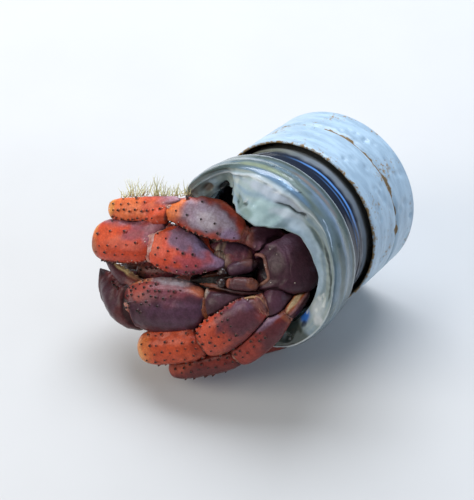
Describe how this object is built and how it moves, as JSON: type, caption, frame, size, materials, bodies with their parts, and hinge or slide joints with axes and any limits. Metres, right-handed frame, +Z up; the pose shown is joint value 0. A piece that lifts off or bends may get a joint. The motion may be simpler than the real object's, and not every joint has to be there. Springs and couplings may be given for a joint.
{
  "type": "caribbean land hermit crab model in a bottle neck",
  "caption": "Life-size still model of a land hermit crab, half drawn into a broken glass bottle neck with a screw cap, facing sideways with its legs folded.",
  "frame": {"origin": "centre of the model's bounding box in plan, on the floor that it rests on", "axes": "+Z up; the bottle's mouth opens towards -Y and 15.8 degrees up, its cap is at +Y; the crab's head and folded legs point to -X and -Y"},
  "size_m": [0.0546, 0.0616, 0.0479],
  "materials": {
    "bottle_glass": "clear pale green glass with a broken front edge",
    "cap_paint": "worn pale blue-white enamel with rust at the lower edge",
    "shell_orange": "satin red-orange shell with dark-tipped tubercles",
    "shell_purple": "satin dark purple-brown shell",
    "soft_body": "soft folded skin of the hidden abdomen",
    "eye": "glossy black"
  },
  "bodies": {
    "root": {"abdomen_front": "soft_body", "abdomen_rear": "soft_body", "antenna_left": "shell_orange", "antenna_right": "shell_orange", "antennule_left": "shell_orange", "antennule_right": "shell_orange", "bottle_neck": "bottle_glass", "claw_left_carpus": "shell_purple", "claw_left_finger": "shell_orange", "claw_left_merus": "shell_purple", "claw_left_palm": "shell_purple", "claw_right_carpus": "shell_orange", "claw_right_finger": "shell_orange", "claw_right_merus": "shell_orange", "claw_right_palm": "shell_orange", "cornea_left": "eye", "cornea_right": "eye", "eyestalk_left": "shell_orange", "eyestalk_right": "shell_orange", "leg_2_left_carpus": "shell_orange", "leg_2_left_dactyl": "shell_orange", "leg_2_left_ischium": "shell_purple", "leg_2_left_merus": "shell_orange", "leg_2_left_propodus": "shell_orange", "leg_2_right_carpus": "shell_orange", "leg_2_right_dactyl": "shell_orange", "leg_2_right_ischium": "shell_purple", "leg_2_right_merus": "shell_orange", "leg_2_right_propodus": "shell_orange", "leg_3_left_carpus": "shell_orange", "leg_3_left_dactyl": "shell_orange", "leg_3_left_ischium": "shell_purple", "leg_3_left_merus": "shell_orange", "leg_3_left_propodus": "shell_orange", "leg_3_right_carpus": "shell_orange", "leg_3_right_dactyl": "shell_orange", "leg_3_right_ischium": "shell_purple", "leg_3_right_merus": "shell_orange", "leg_3_right_propodus": "shell_orange", "leg_4_left": "shell_orange", "leg_4_right": "shell_orange", "leg_5_left": "shell_orange", "leg_5_right": "shell_orange", "maxilliped_left": "shell_orange", "maxilliped_right": "shell_orange", "screw_cap": "cap_paint", "shield": "shell_purple", "tail_fan": "soft_body", "thorax": "shell_purple"}
  },
  "joints": []
}
